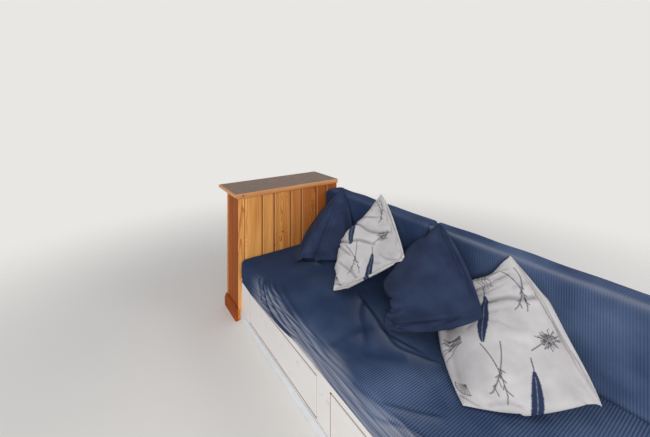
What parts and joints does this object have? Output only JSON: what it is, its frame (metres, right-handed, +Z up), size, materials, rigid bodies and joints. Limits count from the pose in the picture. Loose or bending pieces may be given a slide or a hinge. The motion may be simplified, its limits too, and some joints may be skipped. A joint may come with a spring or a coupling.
{
  "type": "built-in daybed with drawers and end counter",
  "caption": "Painted daybed base with drawers, foam mattress, back and scatter cushions, built against a pine-clad end counter with a laminate top.",
  "frame": {"origin": "middle of the whole part's footprint, on the floor", "axes": "+X along the bed, away from the counter; +Y towards the wall behind the bed; +Z up"},
  "size_m": [2.485, 0.91, 0.9427],
  "materials": {
    "white_paint": "satin paint, worn",
    "bare_softwood": "planed, bare",
    "plywood": "bare birch ply",
    "varnished_pine": "honey varnish, satin",
    "dark_pine": "brown stain, satin",
    "brown_laminate": "fine-grained laminate on chipboard",
    "ribbed_navy_fabric": "ribbed stretch cover",
    "plain_navy_fabric": "plain woven cotton",
    "printed_fabric": "off-white cotton, printed"
  },
  "bodies": {
    "daybed": {"head_rail": "white_paint", "sill_rail": "white_paint", "left_stile": "white_paint", "centre_stile": "white_paint", "right_stile": "white_paint", "plinth_strip": "white_paint", "left_end_panel": "white_paint", "right_end_panel": "white_paint", "centre_divider": "bare_softwood", "back_panel": "plywood", "deck_left": "plywood", "deck_right": "plywood", "left_bay_runners": "bare_softwood", "right_bay_runners": "bare_softwood", "counter_frame": "bare_softwood", "bed_side_boards": "varnished_pine", "room_end_boards": "varnished_pine", "far_side_boards": "varnished_pine", "wall_end_boards": "varnished_pine", "corner_strip": "varnished_pine", "counter_top": "brown_laminate", "top_lipping": "dark_pine", "top_cover_strip": "dark_pine", "room_end_skirting": "dark_pine", "far_side_skirting": "dark_pine", "mattress": "ribbed_navy_fabric", "back_cushion_left": "ribbed_navy_fabric", "back_cushion_right": "ribbed_navy_fabric", "navy_cushion_far": "plain_navy_fabric", "print_cushion_far": "printed_fabric", "navy_cushion_near": "plain_navy_fabric", "print_cushion_near": "printed_fabric"},
    "left_drawer": {"left_drawer_front": "white_paint", "left_drawer_left_side": "plywood", "left_drawer_right_side": "plywood", "left_drawer_back": "plywood", "left_drawer_bottom": "plywood"},
    "right_drawer": {"right_drawer_front": "white_paint", "right_drawer_left_side": "plywood", "right_drawer_right_side": "plywood", "right_drawer_back": "plywood", "right_drawer_bottom": "plywood"}
  },
  "joints": [
    {"name": "left_drawer_slide", "type": "slide", "parent": "daybed", "child": "left_drawer", "axis": [0, -1, 0], "range_m": [0, 0.5]},
    {"name": "right_drawer_slide", "type": "slide", "parent": "daybed", "child": "right_drawer", "axis": [0, -1, 0], "range_m": [0, 0.5]}
  ]
}
